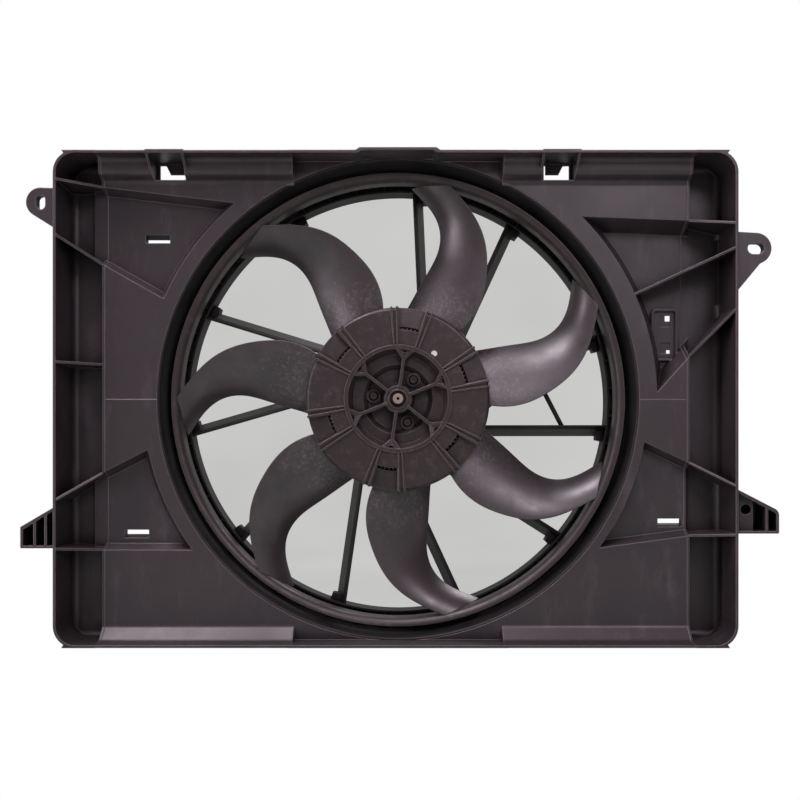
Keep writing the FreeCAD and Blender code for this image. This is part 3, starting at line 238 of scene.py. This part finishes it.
nylonSatin = mouldedNylon("glassFilledNylonSatin", shroudLook)
nylonGloss = mouldedNylon("glassFilledNylonSemiGloss", bladeLook)
nylonDusty = mouldedNylon("glassFilledNylonDusty", hubLook)
nylonDull = mouldedNylon("glassFilledNylonDull", vaneLook)
# Blackened screw steel: dark brown, with a dull metal glint. The hidden magnets and brushes share it
blackOxide = metalFinish("blackOxideSteel",
                         {"colour": "#6F635D", "shadeColour": "#453C37", "roughness": 0.38,
                          "grainSize": 1.5})
# Turned shaft end: warm bright metal
groundSteel = metalFinish("groundShaftSteel",
                          {"colour": "#EFDCD0", "shadeColour": "#C4AEA3", "roughness": 0.34,
                           "grainSize": 0.8, "boreRadius": 1.5})
# Zinc plate on pressed sheet: pale grey with soft cloudy crystals
zincSteel = metalFinish("zincPlatedSteel",
                        {"colour": "#B9B9B4", "shadeColour": "#8E8F8B", "roughness": 0.38,
                         "grainSize": 3})
# Enamel over copper wire: warm orange brown
copperWire = metalFinish("enamelledCopper",
                         {"colour": "#C8794A", "shadeColour": "#8F4E2C", "roughness": 0.34,
                          "grainSize": 1})
print("materials made")

finishes = {
    "shroud_plastic": nylonSatin, "fan_plastic": nylonGloss, "card_plastic": nylonDull,
    "zinc_steel": zincSteel, "lamination_steel": zincSteel, "ground_steel": groundSteel,
    "ferrite": blackOxide, "carbon": blackOxide, "copper": copperWire,
}
# Pieces with another finish than the rest of their slot, by how their names start
otherFinishes = {
    "stator_vane": nylonDull, "rear_ring": nylonDull, "vane_brace": nylonDull,
    "motor_cradle": nylonDull, "fan_barrel": nylonDull, "cradle_clip": nylonDull,
    "fan_hub": nylonDusty, "fan_band": nylonDusty,
    "hub_screws": blackOxide, "motor_screws": blackOxide,
}
slotOf = {row["node"]: row["material_slot"] for row in frame["record"]["subparts"]}
for name, part in nodes.items():
    finish = finishes[slotOf[name]]
    for start, other in otherFinishes.items():
        if name.startswith(start):
            finish = other
    part.data.materials.clear()
    part.data.materials.append(finish)
print("finishes assigned")

# The photograph's own viewpoint: mm from the fan's axis and the front rim, and the lens in mm
shot = {"place": (6.6, -900.0, -55.0), "lens": 42.6, "sensorWidth": 36, "shift": (-0.006, 0.069)}

# Paper sweep in metres. The painted shadow patch's slopes are run over depth, seen from the shot's place
studio = {
    "floorGap": 0.004, "front": -4.0, "backdropDistance": 1.3, "halfWidth": 5.0, "height": 5.0,
    "coveRadius": 0.5, "coveSteps": 12, "paper": "#F4F5F4", "clearTone": "#FFFFFF",
    "shadowPatchTone": "#BDBDBA", "shadowPatchMottleTone": "#D2D3D1", "mottleSize": 0.35, "mottleDetail": 2.0,
    "patchSlope": 0.225, "clearSlope": 0.262, "mirrorLevel": 0.5, "worldLevel": 0.16, "tint": "#FFF1FB",
}


# Floor and backdrop as one sheet with a rounded cove
def paperSweep():
    low = cadBox[0].z - studio["floorGap"]
    back = rimDepth + studio["backdropDistance"]
    cove = studio["coveRadius"]
    profile = [(studio["front"], low), (back - cove, low)]
    for step in range(1, studio["coveSteps"] + 1):
        turn = math.radians(90 * step / studio["coveSteps"])
        profile.append((back - cove + cove * math.sin(turn), low + cove - cove * math.cos(turn)))
    profile.append((back, low + studio["height"]))
    half = studio["halfWidth"]
    points = [(side * half, y, z) for y, z in profile for side in (-1, 1)]
    faces = [(2 * i, 2 * i + 1, 2 * i + 3, 2 * i + 2) for i in range(len(profile) - 1)]
    mesh = bpy.data.meshes.new("paperSweep")
    mesh.from_pydata(points, [], faces)
    mesh.polygons.foreach_set("use_smooth", [True] * len(mesh.polygons))
    sweep = bpy.data.objects.new("paperSweep", mesh)
    bpy.context.scene.collection.objects.link(sweep)
    mesh.materials.append(studioPaper())


# White matte paper, with a greyer patch of painted shadow behind the fan's opening, where it falls into shade
def studioPaper():
    material, tree = newMaterial("studioPaper")
    place = addNode(tree, "ShaderNodeNewGeometry").outputs["Position"]
    eye = Vector(shot["place"]) * mm
    away = addNode(tree, "ShaderNodeVectorMath",
                   {"operation": "SUBTRACT", 1: (fanAxis.x + eye.x, rimDepth + eye.y, fanAxis.z + eye.z)},
                   {0: place})
    axes = addNode(tree, "ShaderNodeSeparateXYZ", {}, {0: away.outputs[0]})
    deep = addNode(tree, "ShaderNodeCombineXYZ", {}, {i: axes.outputs[1] for i in range(3)})
    slope = addNode(tree, "ShaderNodeVectorMath", {"operation": "DIVIDE"},
                    {0: away.outputs[0], 1: deep.outputs[0]})
    offset = addNode(tree, "ShaderNodeVectorMath",
                     {"operation": "SUBTRACT", 1: (eye.x / eye.y, 1, eye.z / eye.y)}, {0: slope.outputs[0]})
    reach = addNode(tree, "ShaderNodeVectorMath", {"operation": "LENGTH"}, {0: offset.outputs[0]})
    outward = addNode(tree, "ShaderNodeMapRange",
                      {"interpolation_type": "SMOOTHSTEP", "From Min": studio["patchSlope"],
                       "From Max": studio["clearSlope"]}, {"Value": reach.outputs["Value"]})
    # Painted shadow: grey tones mottled by noise, fading to white outside the patch
    shadowMottle = addNode(tree, "ShaderNodeTexNoise",
                    {"Scale": 1 / studio["mottleSize"], "Detail": studio["mottleDetail"]}, {"Vector": place})
    shade = addNode(tree, "ShaderNodeMix",
                    {"data_type": "RGBA", 6: linear(studio["shadowPatchTone"]),
                     7: linear(studio["shadowPatchMottleTone"])}, {0: shadowMottle.outputs[0]})
    tone = addNode(tree, "ShaderNodeMix", {"data_type": "RGBA", 7: linear(studio["clearTone"])},
                   {0: outward.outputs[0], 6: shade.outputs[2]})
    matte = addNode(tree, "ShaderNodeBsdfDiffuse", {"Color": linear(studio["paper"])})

    # Reflections see the paper dimmer, as if a grey card lay in front of the object
    ray = addNode(tree, "ShaderNodeLightPath").outputs
    level = addNode(tree, "ShaderNodeMath",
                    {"operation": "MULTIPLY_ADD", 1: studio["mirrorLevel"] - 1, 2: 1.0},
                    {0: ray["Is Glossy Ray"]})
    glow = addNode(tree, "ShaderNodeEmission", {}, {"Color": tone.outputs[2], "Strength": level.outputs[0]})
    seen = ray["Is Camera Ray"]
    for kind in ("Is Glossy Ray", "Is Transmission Ray"):
        seen = addNode(tree, "ShaderNodeMath", {"operation": "MAXIMUM"}, {0: seen, 1: ray[kind]}).outputs[0]
    mixed = addNode(tree, "ShaderNodeMixShader", {}, {0: seen, 1: matte.outputs[0], 2: glow.outputs[0]})
    addNode(tree, "ShaderNodeOutputMaterial", links={"Surface": mixed.outputs[0]})
    return material


# Soft boxes, all turned to the middle of the object: place and size in metres, power in watts
lamps = {
    "softTop": {"place": (-0.65, -0.8, 1.9), "size": (1.3, 0.8), "power": 44},
    "softFront": {"place": (0.9, -2.2, 1.5), "size": (1.2, 1.0), "power": 26},
    "softLeft": {"place": (-1.9, -0.75, 0.4), "size": (0.6, 1.2), "power": 13},
    "softBack": {"place": (0.7, 0.95, 1.3), "size": (1.0, 0.6), "power": 14},
}


def softBox(name, box):
    lamp = bpy.data.lights.new(name, "AREA")
    lamp.shape = "RECTANGLE"
    lamp.size, lamp.size_y = box["size"]
    lamp.energy = box["power"]
    lamp.color = linear(studio["tint"])[:3]
    holder = bpy.data.objects.new(name, lamp)
    holder.location = box["place"]
    holder.rotation_euler = (-Vector(box["place"])).to_track_quat("-Z", "Y").to_euler()
    bpy.context.scene.collection.objects.link(holder)


# Dim tinted fill on the object, white behind it
def setWorld():
    world = bpy.data.worlds.new("studioWorld")
    bpy.context.scene.world = world
    world.use_nodes = True
    tree = world.node_tree
    tree.nodes.clear()
    fill = addNode(tree, "ShaderNodeBackground",
                   {"Color": linear(studio["tint"]), "Strength": studio["worldLevel"]})
    white = addNode(tree, "ShaderNodeBackground", {"Color": linear(studio["paper"]), "Strength": 1.0})
    ray = addNode(tree, "ShaderNodeLightPath").outputs["Is Camera Ray"]
    mixed = addNode(tree, "ShaderNodeMixShader", {}, {0: ray, 1: fill.outputs[0], 2: white.outputs[0]})
    addNode(tree, "ShaderNodeOutputWorld", links={"Surface": mixed.outputs[0]})


def setCamera():
    camera = bpy.data.cameras.new("productCamera")
    camera.sensor_width = shot["sensorWidth"]
    camera.lens = shot["lens"]
    camera.shift_x, camera.shift_y = shot["shift"]
    holder = bpy.data.objects.new("productCamera", camera)
    x, y, z = shot["place"]
    holder.location = (fanAxis.x + x * mm, rimDepth + y * mm, fanAxis.z + z * mm)
    holder.rotation_euler = (math.radians(90), 0, 0)
    bpy.context.scene.collection.objects.link(holder)
    bpy.context.scene.camera = holder


paperSweep()
for name, box in lamps.items():
    softBox(name, box)
setWorld()
setCamera()
bpy.context.scene.view_settings.view_transform = "Standard"
print("studio and camera set")
